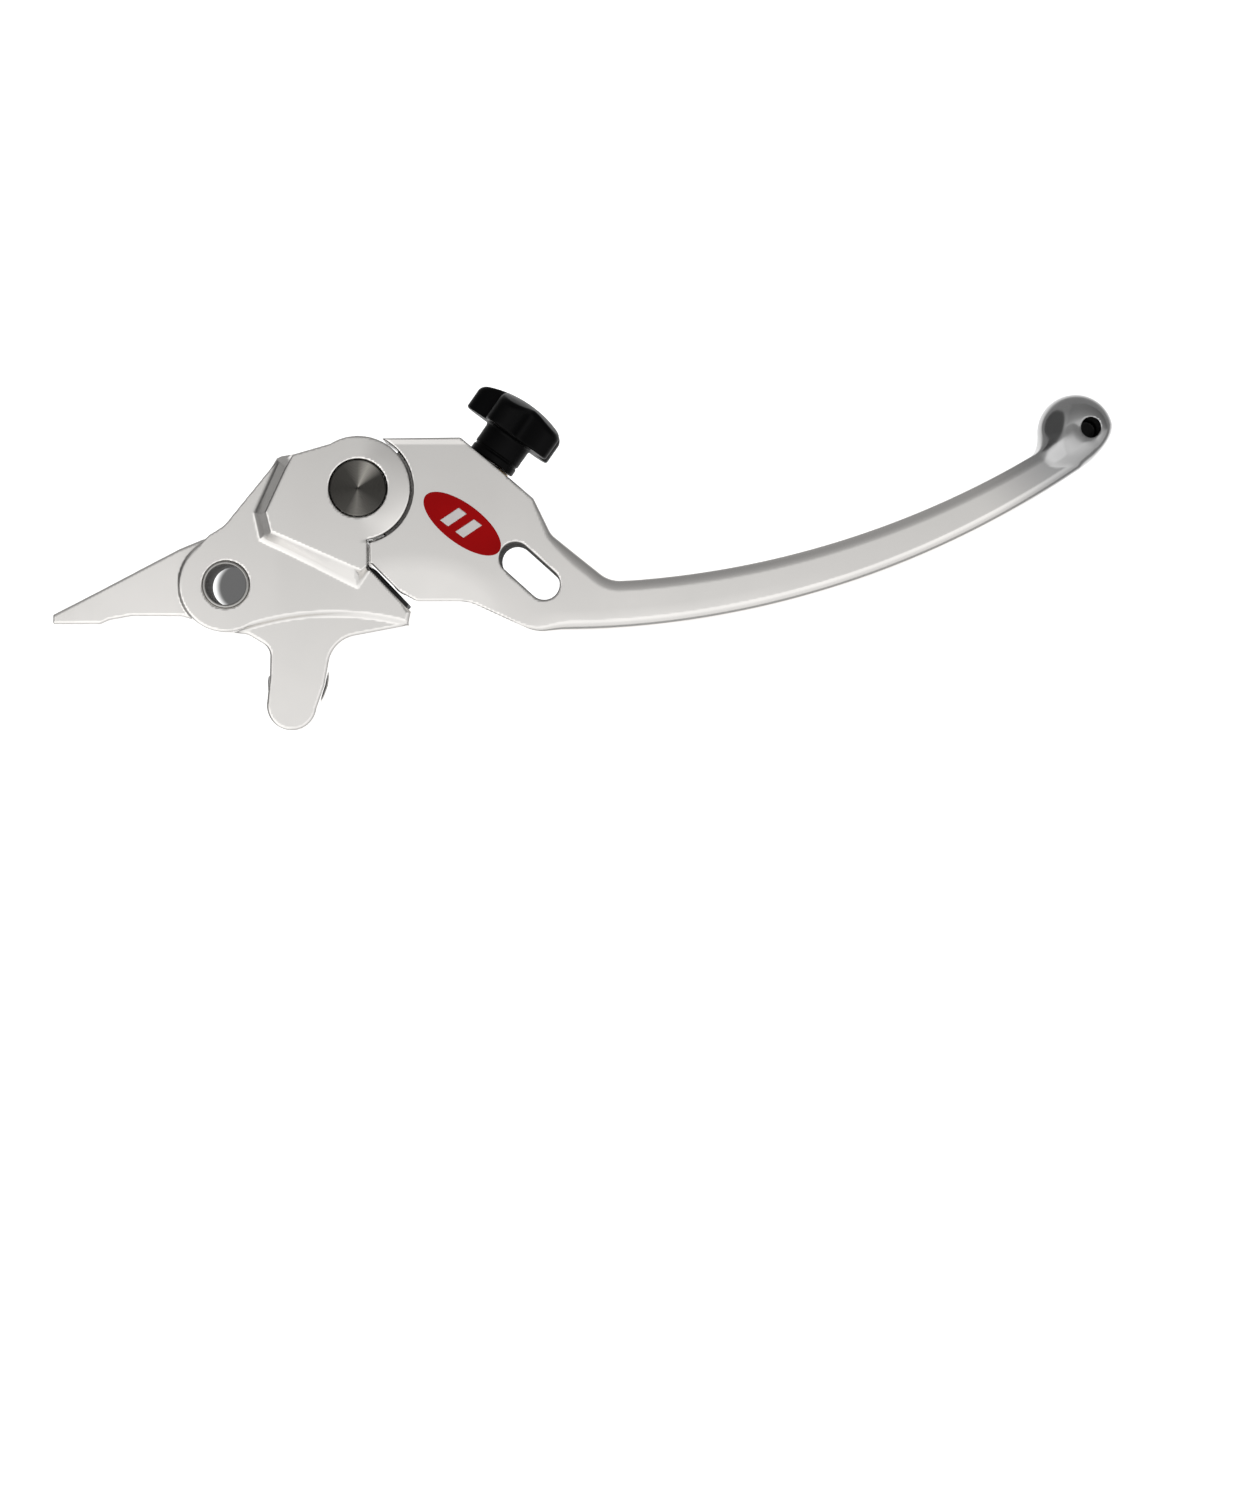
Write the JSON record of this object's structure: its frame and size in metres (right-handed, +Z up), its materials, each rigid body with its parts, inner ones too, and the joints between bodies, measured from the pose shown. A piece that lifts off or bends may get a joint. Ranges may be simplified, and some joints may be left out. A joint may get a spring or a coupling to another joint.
{
  "type": "brake lever",
  "caption": "Folding motorcycle brake lever with a forked base, a curved ball-ended blade, and a star knob that sets its reach.",
  "frame": {"origin": "centre of the perch pivot bore, on the lever's mid-plane", "axes": "+X towards the ball end, +Y forward, away from the handlebar, +Z up along both pivot axes"},
  "size_m": [0.2121, 0.0693, 0.02],
  "materials": {
    "lever_aluminium": "satin, bead-blasted and clear anodised",
    "bush_steel": "turned",
    "pin_steel": "turned, fine circular tool marks",
    "spring_steel": "plain wire",
    "bush_bronze": "turned, oiled",
    "black_steel": "black oxide",
    "pad_plastic": "moulded, matt",
    "seal_rubber": "matt",
    "knob_black": "gloss black, moulded"
  },
  "bodies": {
    "base": {"lever_base": "lever_aluminium", "perch_bush": "bush_steel", "piston_set_screw": "black_steel", "wear_pad": "pad_plastic", "fork_bush_upper": "bush_bronze", "fork_bush_lower": "bush_bronze", "return_spring": "spring_steel"},
    "pivot": {"fold_pin": "pin_steel", "fold_pin_washer": "pin_steel", "fold_pin_screw": "pin_steel"},
    "blade": {"lever_blade": "lever_aluminium", "tongue_bush": "bush_bronze", "spindle_bush": "bush_bronze", "spindle_o_ring": "seal_rubber", "plunger_guide_screw": "black_steel"},
    "knob": {"adjuster_knob": "knob_black", "adjuster_spindle": "pin_steel", "knob_roll_pin": "pin_steel", "detent_ball": "pin_steel", "detent_spring": "spring_steel"},
    "plunger": {"adjuster_plunger": "black_steel"}
  },
  "joints": [
    {"name": "span_adjust", "type": "hinge", "parent": "base", "child": "pivot", "pos_m": [0.02656, 0.01908, 0], "axis": [0, 0, 1], "range_deg": [-1, 7]},
    {"name": "fold", "type": "hinge", "parent": "pivot", "child": "blade", "pos_m": [0.02656, 0.01908, 0], "axis": [0, 0, 1], "range_deg": [0, 45], "stiffness_Nm_per_rad": 0.4, "springref_deg": -20.05},
    {"name": "knob_turn", "type": "hinge", "parent": "blade", "child": "knob", "pos_m": [0.0526, 0.0248, 0], "axis": [0.5736, 0.8192, 0], "range_deg": [-130, 905]},
    {"name": "plunger_slide", "type": "slide", "parent": "blade", "child": "plunger", "axis": [-0.5736, -0.8192, 0], "range_m": [-0.00036, 0.0025]}
  ],
  "couplings": [
    {"joint": "knob_turn", "follows": "plunger_slide", "rad_per_m": 6283.2},
    {"joint": "span_adjust", "follows": "plunger_slide", "rad_per_m": 48.78}
  ]
}
